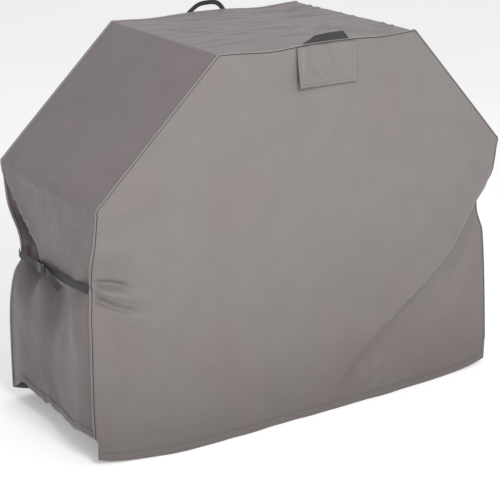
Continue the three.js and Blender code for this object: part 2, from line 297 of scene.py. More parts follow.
def drawn_shape(sewn):
    """The cover with its sides pleated and its hem lifted, every thread about as long as it was cut."""
    rest = np.array(sewn.points)
    drawn = rest.copy()
    for grid, sign in ((sewn.front, -1), (sewn.back, 1)):
        ids = grid[grid >= 0]
        drawn[ids, 0], drawn[ids, 1] = drawn_face(rest[ids, 0], rest[ids, 2], sign)
    columns = [grid[SIDE_ROWS::-1, j] for grid in (sewn.front, sewn.back) for j in range(TOP_COLUMNS + 1)]
    for turn, inwards in ((False, 1), (True, -1)):
        side = sewn.gusset[::-1] if turn else sewn.gusset
        for row in side[FREE_ROWS:SIDE_ROWS]:
            ends = drawn[row[0], :2], drawn[row[-1], :2]
            drawn[row, 0], drawn[row, 1] = drawn_side(*ends, rest[row, 2].mean(), inwards)
        columns += [side[SIDE_ROWS::-1, t] for t in range(DEPTH_COLUMNS + 1)]
    for column in columns:
        column = column[column >= 0]
        for above, v in zip(column, column[1:]):
            fall = rest[above, 2] - rest[v, 2]
            aside = drawn[above, :2] - drawn[v, :2]
            left_over = max(fall**2 - aside @ aside, (LEAST_FALL * fall) ** 2)
            drawn[v, 2] = drawn[above, 2] - math.sqrt(left_over)
    drawn[:, 2] -= edge_sag(rest)
    return drawn


# ---- the simulation ----

SETTLE_FRAMES = 40
FREE_BELOW = 0.8          # the cloth hangs freely below this height
HELD_ABOVE = 0.96         # and lies still on the grill above this one
LIGHT_HOLD = 0.06         # of the free cloth towards its drawn shape, where 1 is fixed
SEAM_HOLD = 0.6           # of the corner seams, which their welts keep stiff
LID_INSET = 0.012         # from the cover's flat panels to the lid
SETTLING = {
    "quality": 6, "mass": 0.25, "tension_stiffness": 40, "compression_stiffness": 40, "shear_stiffness": 15,
    "bending_stiffness": 8, "tension_damping": 15, "compression_damping": 15, "shear_damping": 10,
    "bending_damping": 2, "air_damping": 3, "vertex_group_mass": "pins",
}


def grill_lid():
    """What the cover hangs on: a closed lid down to the shelves on both sides."""
    y = HALF_DEPTH - LID_INSET
    top, shelf = HEIGHT - LID_INSET, SHOULDER - LID_INSET
    outline = [
        (-HALF_WIDTH + LID_INSET, shelf), (TOP_LEFT + LID_INSET / 3, top),
        (TOP_RIGHT - LID_INSET / 3, top), (HALF_WIDTH - LID_INSET, shelf),
    ]
    n = len(outline)
    points = [(x, -y, z) for x, z in outline] + [(x, y, z) for x, z in outline]
    faces = [tuple(range(n)), tuple(range(2 * n - 1, n - 1, -1))]
    faces += [(i, i + n, (i + 1) % n + n, (i + 1) % n) for i in range(n)]
    return face_outwards(new_mesh("form_lid", points, faces))


def hold_weights(sewn):
    """How firmly each point keeps to its drawn place, from 0 to 1."""
    height = np.array(sewn.points)[:, 2]
    hold = np.maximum(smooth_step((height - FREE_BELOW) / (HELD_ABOVE - FREE_BELOW)), LIGHT_HOLD)
    for end, (_, z) in ((0, STRAP_FRONT), (DEPTH_COLUMNS, STRAP_REAR)):
        for side in (sewn.gusset, sewn.gusset[::-1]):
            seam = side[FREE_ROWS:SIDE_ROWS, end]
            hold[seam] = np.maximum(hold[seam], SEAM_HOLD)
            hold[seam[np.argsort(np.abs(height[seam] - z))[:2]]] = 1
    return hold


def settle(sewn):
    """Lets the drawn cover settle as cloth of its flat pattern, and returns the settled points."""
    cloth = new_mesh("sewn_cover", sewn.points, sewn.faces)
    pattern = cloth.shape_key_add(name="pattern")
    drawn = cloth.shape_key_add(name="drawn")
    for v, place in enumerate(drawn_shape(sewn)):
        drawn.data[v].co = Vector(place)
    drawn.value = 1
    pins = cloth.vertex_groups.new(name="pins")
    for v, hold in enumerate(hold_weights(sewn)):
        pins.add([v], float(hold), "REPLACE")

    form = grill_lid()
    form.modifiers.new("Collision", "COLLISION")
    form.collision.thickness_outer = 0.008
    form.collision.cloth_friction = 8
    modifier = cloth.modifiers.new("Cloth", "CLOTH")
    modifier.settings.rest_shape_key = pattern
    for key, value in SETTLING.items():
        setattr(modifier.settings, key, value)
    contact = modifier.collision_settings
    contact.distance_min = 0.004
    contact.collision_quality = 2
    contact.use_self_collision = False
    modifier.point_cache.frame_start = 1
    modifier.point_cache.frame_end = SETTLE_FRAMES
    scene = bpy.context.scene
    scene.frame_start, scene.frame_end = 1, SETTLE_FRAMES
    for at_frame in range(1, SETTLE_FRAMES + 1):
        scene.frame_set(at_frame)
    made = cloth.evaluated_get(bpy.context.evaluated_depsgraph_get())
    settled = np.array([v.co for v in made.data.vertices])
    for part in (cloth, form):
        bpy.data.objects.remove(part)
    scene.frame_set(1)
    return settled


# ---- fine panels ----

REFINE = 3                # fine steps in each step of the sewn grid
EASE_FROM = 0.54          # the sides' folds open out below this height, over EASE_OVER
EASE_OVER = 0.26
FOLD_LEFT = 0.26          # of the folds, at the hem
EVEN_OUT = 0.6            # how far the opened folds' threads are spaced evenly again
FADE_STEPS = 4            # fine steps from a seam over which relief fades in


def refine(grid, factor=REFINE):
    """The same grid with factor times as many steps each way, on smooth curves through its points."""
    for axis in (0, 1):
        grid = np.moveaxis(grid, axis, 0)
        before, after = 2 * grid[:1] - grid[1:2], 2 * grid[-1:] - grid[-2:-1]
        line = np.concatenate([before, grid, after])
        a, b, c, d = line[:-3], line[1:-2], line[2:-1], line[3:]
        steps = []
        for t in np.arange(factor) / factor:
            bend = 2 * a - 5 * b + 4 * c - d + t * (3 * (b - c) + d - a)
            steps.append(b + 0.5 * t * (c - a + t * bend))
        fine = np.stack(steps, axis=1).reshape(-1, *grid.shape[1:])
        grid = np.moveaxis(np.concatenate([fine, grid[-1:]]), 0, axis)
    return grid


def unit(v):
    return v / np.maximum(np.linalg.norm(v, axis=-1, keepdims=True), 1e-9)


def run_along(path):
    """The length of a path from its start to each of its points."""
    return np.concatenate([[0], np.cumsum(np.linalg.norm(np.diff(path, axis=0), axis=1))])


def as_line(i, j):
    return np.broadcast_arrays(np.asarray(i, float), np.asarray(j, float))


class Panel:
    """A fine grid of one cloth panel: its points, outward normals and flat pattern coordinates."""

    def __init__(self, points, pattern, outward):
        self.points = points
        self.pattern = pattern
        self.outward = outward
        self.find_normals()

    def find_normals(self):
        down, along = np.gradient(self.points, axis=0), np.gradient(self.points, axis=1)
        self.normals = self.outward * unit(np.cross(along, down))

    def raise_by(self, height):
        self.points = self.points + self.normals * height[..., None]
        self.find_normals()

    def read(self, grid, i, j):
        """A grid's value at fractional rows and columns."""
        i = np.clip(np.asarray(i, float), 0, grid.shape[0] - 1.001)
        j = np.clip(np.asarray(j, float), 0, grid.shape[1] - 1.001)
        i0, j0 = i.astype(int), j.astype(int)
        a, b = (i - i0)[..., None], (j - j0)[..., None]
        top = grid[i0, j0] * (1 - b) + grid[i0, j0 + 1] * b
        low = grid[i0 + 1, j0] * (1 - b) + grid[i0 + 1, j0 + 1] * b
        return top * (1 - a) + low * a

    def at(self, i, j, lift=0.0):
        normal = unit(self.read(self.normals, i, j))
        return self.read(self.points, i, j) + normal * np.asarray(lift, float)[..., None]


def crease(u, v, start, end, width, height, bow=0.0):
    """A soft ridge from start to end on the flat pattern, or a valley where its height is negative."""
    du, dv = end[0] - start[0], end[1] - start[1]
    length = math.hypot(du, dv)
    along = ((u - start[0]) * du + (v - start[1]) * dv) / length**2
    off = ((v - start[1]) * du - (u - start[0]) * dv) / length - bow * 4 * along * (1 - along)
    fade = smooth_step(along / 0.35) * smooth_step((1 - along) / 0.35)
    return height * np.exp(-((off / width) ** 2)) * fade


def ripple(u, v, scale, seed):
    """Soft seeded noise from about -1 to 1 on the flat pattern."""
    flat = np.stack([u.ravel() / scale, v.ravel() / scale], axis=1)
    values = [noise.noise((a, b, seed)) for a, b in flat]
    return np.array(values).reshape(u.shape)


# Creases of the front face: start, end, width, height and bow, in metres on the flat pattern.
FRONT_CREASES = [
    ((0.92, 0.76), (0.22, 0.1), 0.034, -0.025, 0.02), ((0.86, 0.8), (0.28, 0.24), 0.052, 0.021, 0.02),
    ((0.62, 0.5), (0.04, 0.0), 0.034, -0.018, 0.012), ((0.42, 0.24), (0.18, 0.0), 0.028, 0.006),
    ((0.7, 0.58), (0.44, 0.34), 0.012, -0.004, 0.004), ((0.52, 0.44), (0.3, 0.2), 0.011, 0.003),
    ((0.22, 0.29), (0.1, 0.21), 0.014, 0.004), ((0.33, 0.22), (0.22, 0.13), 0.013, 0.003),
    ((0.62, 0.93), (0.33, 0.66), 0.034, -0.005), ((0.79, 0.89), (0.48, 0.62), 0.036, -0.006, 0.01),
    ((0.1, 0.18), (-0.12, -0.04), 0.03, -0.003), ((-0.06, 0.16), (-0.2, -0.02), 0.026, -0.003),
    ((-0.84, 0.59), (-0.66, 0.585), 0.01, -0.011, 0.016),
    ((-0.84, 0.59), (-0.62, 0.505), 0.011, -0.012, -0.018), ((-0.84, 0.59), (-0.6, 0.548), 0.016, 0.01),
    ((-0.79, 0.57), (-0.52, 0.44), 0.03, 0.004, -0.02), ((-0.79, 0.62), (-0.66, 0.7), 0.022, -0.003),
    ((-0.74, 0.5), (-0.72, 0.1), 0.022, -0.004), ((-0.66, 0.42), (-0.64, 0.05), 0.026, 0.003),
    ((0.8, 0.6), (0.66, 0.56), 0.01, -0.006, 0.012), ((0.8, 0.595), (0.62, 0.52), 0.014, 0.005),
    ((-0.36, 0.24), (-0.42, 0.02), 0.028, -0.003),
]
BACK_CREASES = [
    ((-0.78, 0.68), (-0.34, 0.28), 0.036, -0.008, 0.012), ((-0.8, 0.6), (-0.24, 0.12), 0.045, 0.008),
    ((0.79, 0.6), (0.56, 0.52), 0.012, 0.005, 0.012), ((0.79, 0.58), (0.58, 0.48), 0.012, -0.006, -0.012),
    ((0.52, 0.8), (0.2, 0.42), 0.04, -0.004), ((0.1, 0.3), (0.0, 0.02), 0.03, -0.004),
    ((0.4, 0.26), (0.36, 0.02), 0.028, 0.003), ((-0.2, 0.34), (-0.26, 0.04), 0.032, -0.004),
]
CREASE_DEPTH = 1.6        # times the heights above
TOP_WRINKLES = 60
TOP_WRINKLE_SEED = 11
SLOPE_SAG = 0.012         # of the unheld cloth in the middle of each slope

# Pattern lengths along the gusset from the left hem: to the shoulder, to the top and to the right hem.
SIDE_END = SHOULDER
SLOPE_END = SIDE_END + math.hypot(TOP_LEFT + HALF_WIDTH, HEIGHT - SHOULDER)
GUSSET_LENGTH = 2 * SHOULDER + TOP_RIGHT - TOP_LEFT + (SLOPE_END - SIDE_END) + math.hypot(
    HALF_WIDTH - TOP_RIGHT, HEIGHT - SHOULDER
)


def face_relief(panel, creases, seed):
    """A face's creases over its soft unevenness."""
    u, v = panel.pattern[..., 0], panel.pattern[..., 1]
    height = 0.0016 * ripple(u, v, 0.22, seed) + 0.0007 * ripple(u, v, 0.07, seed + 3)
    for row in creases:
        height = height + CREASE_DEPTH * crease(u, v, *row)
    return height


def gusset_relief(panel):
    """The top's many shallow wrinkles along its length, and the slopes' and sides' soft unevenness."""
    s, t = panel.pattern[..., 0], panel.pattern[..., 1]
    height = 0.0018 * ripple(s, t, 0.2, 5.0) + 0.0008 * ripple(s, t, 0.06, 8.0)
    rng = np.random.default_rng(TOP_WRINKLE_SEED)
    top_start, top_end = SLOPE_END, SLOPE_END + TOP_RIGHT - TOP_LEFT
    for _ in range(TOP_WRINKLES):
        share = rng.random() ** 0.7
        middle = top_start + 0.04 + share * (top_end - top_start - 0.06)
        across = -0.31 + 0.62 * rng.random() ** 0.8
        reach = rng.uniform(0.05, 0.15)
        tilt = rng.uniform(-0.03, 0.045)
        start, end = (middle - reach, across - tilt), (middle + reach, across + tilt)
        size = rng.uniform(0.0022, 0.0056) * (0.55 + 0.6 * share)
        height = height + crease(s, t, start, end, rng.uniform(0.007, 0.015), size)
        height = height - crease(s, t, start, end, 0.03, 0.3 * size)
    mid_slope = (SIDE_END + SLOPE_END) / 2
    sag = bump(s, mid_slope, 0.15) + bump(s, GUSSET_LENGTH - mid_slope, 0.15)
    return height - SLOPE_SAG * sag * (1 - (t / HALF_DEPTH) ** 2)


def ease_sides(sewn, settled):
    """Below the straps the sides' folds open out towards the hem, so that it hangs nearly straight."""
    eased = settled.copy()
    height = np.array(sewn.points)[:, 2]
    for side in (sewn.gusset, sewn.gusset[::-1]):
        for row in side[FREE_ROWS:SIDE_ROWS]:
            share = np.linspace(0, 1, len(row))[:, None]
            chord = settled[row[0]] * (1 - share) + settled[row[-1]] * share
            opened = smooth_step((EASE_FROM - height[row[0]]) / EASE_OVER)
            keep = 1 - (1 - FOLD_LEFT) * opened
            eased[row, 0] = chord[:, 0] + (settled[row, 0] - chord[:, 0]) * keep
            eased[row, 1] = settled[row, 1] + (chord[:, 1] - settled[row, 1]) * (1 - keep) * EVEN_OUT
    return eased


def calm(grid, rounds=3):
    """Smooths a face along its rows between the seams, so that only ripples wider than a few steps stay."""
    grid = grid.copy()
    for _ in range(rounds):
        grid[:-1, 1:-1] = (grid[:-1, :-2] + 2 * grid[:-1, 1:-1] + grid[:-1, 2:]) / 4
    return grid


def make_panels(sewn, settled):
    """The front, the back and the gusset as fine panels, with their flat patterns and their relief."""
    rest = np.array(sewn.points)
    looks = (sewn.front, 1, FRONT_CREASES, 1.0), (sewn.back[FREE_ROWS:], -1, BACK_CREASES, 21.0)
    faces = []
    for ids, outward, creases, seed in looks:
        panel = Panel(refine(calm(settled[ids])), refine(rest[ids][..., [0, 2]]), outward)
        raise_inside(panel, face_relief(panel, creases, seed), top_sewn=True)
        faces.append(panel)
    ids = sewn.gusset[FREE_ROWS:SEAM_STEPS + 1 - FREE_ROWS]
    run = run_along(seam_profile())[FREE_ROWS:SEAM_STEPS + 1 - FREE_ROWS]
    depth = rest[ids, 1]
    low = np.arange(len(ids))[:, None] < len(ids) / 2
    slant = np.where(rest[ids, 2] < SHOULDER, rest[ids, 2] - rest[ids[:, :1], 2], 0)
    along = run[:, None] + np.where(low, slant, -slant)
    gusset = Panel(refine(settled[ids]), refine(np.stack([along, depth], axis=-1)), -1)
    raise_inside(gusset, gusset_relief(gusset), top_sewn=False)
    return *faces, gusset


def raise_inside(panel, height, top_sewn):
    """Adds relief that fades out where a panel is sewn, so that neighbouring panels still meet."""
    rows, columns = (np.arange(n) for n in height.shape)
    fade = smooth_step(np.minimum(columns, columns[::-1]) / FADE_STEPS)[None, :]
    if top_sewn:
        fade = fade * smooth_step(rows[::-1] / FADE_STEPS)[:, None]
    panel.raise_by(height * fade)


# ---- pieces ----


def finish_piece(obj, material, body="cover", smooth=True):
    """Dresses a piece and makes it ride on its body, unless body is None for a piece that is blended."""
    obj.data.materials.append(material)
    for polygon in obj.data.polygons:
        polygon.use_smooth = smooth
    if body:
        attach(obj, body)
    return obj


def lay_pattern(obj, coordinates):
    """A UV map that holds the flat pattern's coordinates in metres."""
    layer = obj.data.uv_layers.new(name="pattern")
    loops = np.zeros(len(obj.data.loops), int)
    obj.data.loops.foreach_get("vertex_index", loops)
    layer.data.foreach_set("uv", np.asarray(coordinates)[loops].ravel())


CLOTH_THICKNESS = 0.0012


def cloth_piece(name, panel, material, hole=None, body="cover", thickness=CLOTH_THICKNESS):
    """A panel's grid as a mesh, without the faces inside an opening (u, v, half width, half height)."""
    rows, columns = panel.points.shape[:2]
    ids = np.arange(rows * columns).reshape(rows, columns)
    quads = np.stack([ids[:-1, :-1], ids[:-1, 1:], ids[1:, 1:], ids[1:, :-1]], axis=-1)
    if panel.outward < 0:
        quads = quads[..., ::-1]
    keep = np.ones(quads.shape[:2], bool)
    if hole:
        middle = (panel.pattern[:-1, :-1] + panel.pattern[1:, 1:]) / 2
        keep = (np.abs(middle[..., 0] - hole[0]) > hole[2]) | (np.abs(middle[..., 1] - hole[1]) > hole[3])
    quads = quads[keep]
    used, renumbered = np.unique(quads, return_inverse=True)
    quads = renumbered.reshape(-1, 4)
    obj = new_mesh(name, panel.points.reshape(-1, 3)[used], quads)
    lay_pattern(obj, panel.pattern.reshape(-1, 2)[used])
    modifier = obj.modifiers.new("thickness", "SOLIDIFY")
    modifier.thickness = thickness
    modifier.offset = -1
    modifier.use_quality_normals = True
    return finish_piece(obj, material, body)


def tube(ids):
    """The quads of a tube, from the vertex numbers of its sections."""
    after = np.roll(ids, -1, axis=1)
    return np.stack([ids[:-1], after[:-1], after[1:], ids[1:]], axis=-1).reshape(-1, 4).tolist()


def swept(sections, coordinates):
    """A closed band through a row of closed sections, capped at both ends, with its pattern coordinates."""
    sections = np.asarray(sections)
    ids = np.arange(sections.shape[0] * sections.shape[1]).reshape(sections.shape[:2])
    faces = tube(ids) + [ids[0, ::-1].tolist(), ids[-1].tolist()]
    return sections.reshape(-1, 3), faces, np.asarray(coordinates).reshape(-1, 2)


class Builder:
    """Gathers many small bodies into one mesh."""

    def __init__(self):
        self.points, self.faces, self.flat = [], [], []

    def add(self, points, faces, flat=None):
        """Adds a body with its pattern coordinates, which small bodies such as stitches don't need."""
        base = len(self.points)
        self.points += [tuple(map(float, p)) for p in points]
        self.faces += [tuple(int(v) + base for v in f) for f in faces]
        flat = np.zeros((len(points), 2)) if flat is None else flat
        self.flat += [tuple(map(float, f)) for f in flat]

    def make(self, name, material, body="cover", smooth=True):
        obj = new_mesh(name, self.points, self.faces)
        lay_pattern(obj, self.flat)
        face_outwards(obj)
        return finish_piece(obj, material, body, smooth)


STITCH_STEP = 0.0042
STITCH_LENGTH = 0.0029
STITCH_RADIUS = 0.00045


def stitch_row(builder, path, normals):
    """A row of single stitches that stand just proud of the cloth along a path."""
    run = run_along(path)
    for start in np.arange(STITCH_STEP, run[-1] - STITCH_STEP, STITCH_STEP):
        spots = np.array([start, start + STITCH_LENGTH / 2, start + STITCH_LENGTH])
        places = np.stack([np.interp(spots, run, path[:, a]) for a in range(3)], axis=1)
        up = unit(np.array([np.interp(spots[1], run, normals[:, a]) for a in range(3)]))
        side = np.cross(unit(places[2] - places[0]), up) * STITCH_RADIUS
        body = [places[0], places[1] + side, places[1] + up * STITCH_RADIUS, places[1] - side, places[2]]
        faces = [(0, 2, 1), (0, 3, 2), (4, 1, 2), (4, 2, 3), (0, 1, 4, 3)]
        builder.add(body, faces)


# ---- materials ----


class Graph:
    """Short calls for one material's nodes."""

    def __init__(self, name, roughness, specular=0.35):
        self.material = bpy.data.materials.new(name)
        self.material.use_nodes = True
        self.nodes = self.material.node_tree.nodes
        self.links = self.material.node_tree.links
        self.shader = self.nodes["Principled BSDF"]
        self.shader.inputs["Roughness"].default_value = roughness
        self.shader.inputs["Specular IOR Level"].default_value = specular
        self.place = self.nodes.new("ShaderNodeTexCoord").outputs["Object"]

    def node(self, kind, **values):
        made = self.nodes.new(kind)
        for key, value in values.items():
            if key in made.inputs:
                made.inputs[key].default_value = value
            else:
                setattr(made, key, value)
        return made

    def link(self, source, target):
        self.links.new(source, target)

    def feed(self, sockets, values):
        """Sets each socket to its number or colour, or links it to the node output given."""
        for socket, value in zip(sockets, values):
            if isinstance(value, (int, float)):
                socket.default_value = value
            elif isinstance(value, tuple):
                socket.default_value = (*value, 1)
            else:
                self.link(value, socket)

    def noise(self, scale, detail):
        made = self.node("ShaderNodeTexNoise", Scale=scale, Detail=detail)
        self.link(self.place, made.inputs["Vector"])
        return made.outputs["Fac"]

    def math(self, operation, *values):
        made = self.node("ShaderNodeMath", operation=operation)
        self.feed(made.inputs, values)
        return made.outputs[0]

    def ramp(self, value, stops):
        made = self.nodes.new("ShaderNodeValToRGB")
        elements = made.color_ramp.elements
        for element, (at, colour) in zip(elements, (stops[0], stops[-1])):
            element.position, element.color = at, (*colour, 1)
        for at, colour in stops[1:-1]:
            elements.new(at).color = (*colour, 1)
        self.link(value, made.inputs["Fac"])
        return made.outputs["Color"]

    def tint(self, colour, by, share=1.0):
        """One colour multiplied by another."""
        made = self.node("ShaderNodeMix", data_type="RGBA", blend_type="MULTIPLY")
        self.feed((made.inputs[0], made.inputs[6], made.inputs[7]), (share, colour, by))
        return made.outputs[2]

    def bump(self, height, strength, distance, before=None):
        made = self.node("ShaderNodeBump", Strength=strength, Distance=distance)
        self.link(height, made.inputs["Height"])
        if before:
            self.link(before, made.inputs["Normal"])
        return made.outputs["Normal"]

    def threads(self, step):
        """A plain weave on the flat pattern, one thread to each step, from 0 to 1."""
        flat = self.node("ShaderNodeUVMap", uv_map="pattern")
        split = self.nodes.new("ShaderNodeSeparateXYZ")
        self.link(flat.outputs["UV"], split.inputs[0])
        turns = [self.math("MULTIPLY", split.outputs[axis], math.pi / step) for axis in ("X", "Y")]
        over = self.math("MULTIPLY", *(self.math("SINE", turn) for turn in turns))
        return self.math("MULTIPLY_ADD", over, 0.5, 0.5)

    def put(self, socket, value):
        self.link(value, self.shader.inputs[socket])

    def wear(self, scale, detail, span, least):
        """Roughness that varies from place to place, from about least to least + span."""
        self.put("Roughness", self.math("MULTIPLY_ADD", self.noise(scale, detail), span, least))


def even(level):
    return (level, level, level)


def fabric(name, grey, pink, dark, roughness):
    """Coated polyester: a fine plain weave, cloudy grey and pink, with darker blotches, and painted shade
    that darkens it towards the hem.
    """
    g = Graph(name, roughness, 0.3)
    cloud = g.ramp(g.noise(2.3, 2.0), [(0.36, grey), (0.64, pink)])
    blotch = g.ramp(g.noise(9.0, 4.0), [(0.32, dark), (0.6, even(1.0))])
    colour = g.tint(cloud, blotch, 0.4)
    weave = g.threads(0.0011)
    colour = g.tint(colour, g.ramp(weave, [(0.0, even(0.93)), (1.0, even(1.04))]))
    colour = g.tint(colour, g.ramp(g.noise(700.0, 2.0), [(0.25, even(0.9)), (0.75, even(1.06))]))
    split = g.nodes.new("ShaderNodeSeparateXYZ")
    g.link(g.place, split.inputs[0])
    # Painted shade: the cloth darkens towards the floor, where less light reaches it.
    painted_low_shade = [(0.0, (0.66, 0.63, 0.62)), (0.3, (0.88, 0.86, 0.86)), (0.75, even(1.0))]
    g.put("Base Color", g.tint(colour, g.ramp(split.outputs["Z"], painted_low_shade)))
    g.wear(16.0, 4.0, 0.22, roughness - 0.11)
    crinkle = g.bump(g.noise(38.0, 5.0), 0.34, 0.004)
    g.put("Normal", g.bump(weave, 0.35, 0.0003, crinkle))
    g.shader.inputs["Sheen Weight"].default_value = 0.12
    g.shader.inputs["Sheen Roughness"].default_value = 0.5
    return g.material


def webbing_material(name, colour, light):
    """Ribbed woven tape with a slightly fuzzy, dusty face."""
    g = Graph(name, 0.72, 0.3)
    weave = g.threads(0.0016)
    dust = g.ramp(g.noise(60.0, 4.0), [(0.35, even(0.8)), (0.75, (1.15, 1.13, 1.11))])
    g.put("Base Color", g.tint(g.ramp(weave, [(0.1, colour), (0.9, light)]), dust))
    g.wear(120.0, 3.0, 0.2, 0.6)
    g.put("Normal", g.bump(weave, 0.8, 0.0008))
    g.shader.inputs["Sheen Weight"].default_value = 0.1
    return g.material


def plastic_material(name, colour, light):
    """Moulded acetal: fine spark-eroded grain, a soft gloss and lighter patches."""
    g = Graph(name, 0.38, 0.5)
    g.put("Base Color", g.ramp(g.noise(90.0, 4.0), [(0.35, colour), (0.75, light)]))
    g.wear(160.0, 4.0, 0.25, 0.24)
    g.put("Normal", g.bump(g.noise(1400.0, 2.0), 0.25, 0.0002))
    return g.material


FACE_CLOTH = fabric("face_cloth", (0.19, 0.177, 0.169), (0.186, 0.165, 0.163), (0.86, 0.84, 0.84), 0.55)
SIDE_CLOTH = fabric("side_cloth", (0.168, 0.146, 0.145), (0.174, 0.142, 0.145), (0.84, 0.81, 0.82), 0.52)
# The welt is the side cloth made lighter: a painted highlight where the seam's ridge catches the light.
WELT_PAINTED_HIGHLIGHT_CLOTH = fabric("welt_painted_highlight_cloth", (0.225, 0.21, 0.203), (0.22, 0.2, 0.196), (0.84, 0.82, 0.82), 0.52)
WEBBING = webbing_material("webbing", (0.02, 0.019, 0.02), (0.052, 0.05, 0.052))
THREAD = webbing_material("thread", (0.12, 0.11, 0.11), (0.2, 0.18, 0.18))
PLASTIC = plastic_material("buckle_plastic", (0.012, 0.012, 0.013), (0.022, 0.022, 0.024))
NET = plastic_material("vent_net", (0.01, 0.01, 0.01), (0.02, 0.02, 0.021))


# ---- the cover's cloth ----

sewn = Sewn()
settled = ease_sides(sewn, settle(sewn))
front, back, gusset = make_panels(sewn, settled)
FACES = {"front": front, "back": back}


def find(side, x, z):
    """Fractional row and column of a place on a face's flat pattern."""
    below = z / SHOULDER * SIDE_ROWS
    above = SIDE_ROWS + (z - SHOULDER) / (HEIGHT - SHOULDER) * SLOPE_ROWS
    row = np.where(z < SHOULDER, below, above)
    left = np.interp(z, [SHOULDER, HEIGHT], [-HALF_WIDTH, TOP_LEFT])
    right = np.interp(z, [SHOULDER, HEIGHT], [HALF_WIDTH, TOP_RIGHT])
    column = (x - left) / (right - left) * TOP_COLUMNS
    first = FREE_ROWS if side == "back" else 0
    return (row - first) * REFINE, column * REFINE


BINDING = 0.012           # width of the tape round a vent's opening
VENT_HOLES = {}
for side in FACES:
    lo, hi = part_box(f"{side}_vent_net")
    VENT_HOLES[side] = (
        (lo.x + hi.x) / 2, (lo.z + hi.z) / 2, (hi.x - lo.x) / 2 - BINDING, (hi.z - lo.z) / 2 - BINDING
    )

front_cloth = cloth_piece("front_cloth", front, FACE_CLOTH, VENT_HOLES["front"])
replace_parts(front_cloth, "front_panel")
back_cloth = cloth_piece("back_cloth", back, FACE_CLOTH, VENT_HOLES["back"])
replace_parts(back_cloth, "back_panel")
gusset_cloth = cloth_piece("gusset_cloth", gusset, SIDE_CLOTH)
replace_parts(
    gusset_cloth,
    "gusset_top", "gusset_left_slope", "gusset_right_slope", "gusset_left_side", "gusset_right_side",
)


# ---- hems, seams and their stitches ----

# Sections of the bands, as (distance from the edge, height over the cloth).
HEM_RING = [
    (-0.0016, -0.0006), (-0.001, 0.0012), (0.002, 0.0019), (0.012, 0.0017), (0.0245, 0.0019),
    (0.0256, 0.0009), (0.0256, -0.0014), (0.0245, -0.0028), (0.001, -0.0028), (-0.0012, -0.0018),
]
EDGE_RING = [
    (-0.0012, -0.0006), (-0.0006, 0.001), (0.002, 0.0016), (0.009, 0.0014), (0.0105, 0.0006),
    (0.0105, -0.002), (0.001, -0.0024),
]
WELT_RING = [
    (-0.0003, -0.0014), (0.0, 0.0018), (0.0012, 0.0036), (0.004, 0.004), (0.008, 0.0034), (0.0101, 0.002),
    (0.0106, -0.0012),
]
# Section of the dark strips beside the welts: painted shade for the shadow in the seam's groove.
SEAM_SHADOW_RING = [(-0.0012, -0.001), (-0.0008, 0.0004), (0.0022, 0.0007), (0.0028, -0.001)]


def band(panel, i, j, across, ring):
    """A band along grid line (i, j), with its section's ring laid out across it."""
    i, j = as_line(i, j)
    base = panel.at(i, j)
    sideways = unit(panel.at(i + across[0], j + across[1]) - base)
    normal = unit(panel.read(panel.normals, i, j))
    run = run_along(base)
    sections = [base + sideways * reach + normal * lift for reach, lift in ring]
    flat = [np.stack([run, np.full(len(run), reach)], axis=1) for reach, _ in ring]
    return swept(np.stack(sections, axis=1), np.stack(flat, axis=1))


def stitch_line(builder, panel, i, j, lift):
    i, j = as_line(i, j)
    stitch_row(builder, panel.at(i, j, lift), unit(panel.read(panel.normals, i, j)))


def piece_of(name, made, material, body="cover"):
    """A piece of one swept band."""
    builder = Builder()
    builder.add(*made)
    return builder.make(name, material, body)


stitches = Builder()
columns = np.arange(front.points.shape[1])
seam_rows = np.arange(gusset.points.shape[0])
across = np.arange(gusset.points.shape[1])
FINE_STEP = SHOULDER / SIDE_ROWS / REFINE
DEPTH_STEP = 2 * HALF_DEPTH / DEPTH_COLUMNS / REFINE
HEM_STITCHES = (0.021 / FINE_STEP, 0.004 / FINE_STEP)     # rows of stitches, in fine steps above the edge
HEM_TOP, EDGE_TOP, WELT_TOP = 0.0019, 0.0016, 0.0036      # heights of the stitches over the cloth
WELT_STITCHES = 0.0072 / DEPTH_STEP
EDGE_STITCHES = 1.2

for side, panel in FACES.items():
    hem = piece_of(f"{side}_hem_band", band(panel, 0, columns, (3, 0), HEM_RING), FACE_CLOTH)
    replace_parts(hem, f"{side}_hem")
    for inset in HEM_STITCHES:
        stitch_line(stitches, panel, inset, columns[1:-1], HEM_TOP)
    if side == "front":
        rows = np.arange(FREE_ROWS * REFINE + 1)
        for end, at, inward in (("left", 0, 1), ("right", columns[-1], -1)):
            edge = band(panel, rows, at, (0, inward), EDGE_RING)
            piece_of(f"front_{end}_free_edge", edge, FACE_CLOTH)
            stitch_line(stitches, panel, rows, at + inward * EDGE_STITCHES, EDGE_TOP)

for end, row, up in (("left", 0, 1), ("right", seam_rows[-1], -1)):
    made = band(gusset, row, across, (up * 3, 0), HEM_RING)
    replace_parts(piece_of(f"{end}_hem_band", made, SIDE_CLOTH), f"{end}_hem")
    for inset in HEM_STITCHES:
        stitch_line(stitches, gusset, row + up * inset, across[1:-1], HEM_TOP)

for side, at, inward in (("front", 0, 1), ("back", across[-1], -1)):
    made = band(gusset, seam_rows, at, (0, inward), WELT_RING)
    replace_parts(piece_of(f"{side}_seam_welt", made, WELT_PAINTED_HIGHLIGHT_CLOTH), f"{side}_seam_piping")
    stitch_line(stitches, gusset, seam_rows, at + inward * WELT_STITCHES, WELT_TOP)
    panel = FACES[side]
    rows = np.arange(FREE_ROWS * REFINE if side == "front" else 0, panel.points.shape[0])
    # Dark strips along the face's sewn edges: painted shade in the groove between the welt and the face.
    edges = [
        ("left", rows, 0, (0, 1)), ("top", rows[-1], columns, (-1, 0)), ("right", rows, columns[-1], (0, -1)),
    ]
    for end, *line in edges:
        piece_of(f"{side}_{end}_seam_shadow_strip", band(panel, *line, SEAM_SHADOW_RING), WEBBING)

stitches.make("cover_stitches", THREAD, smooth=False)


# ---- vents ----

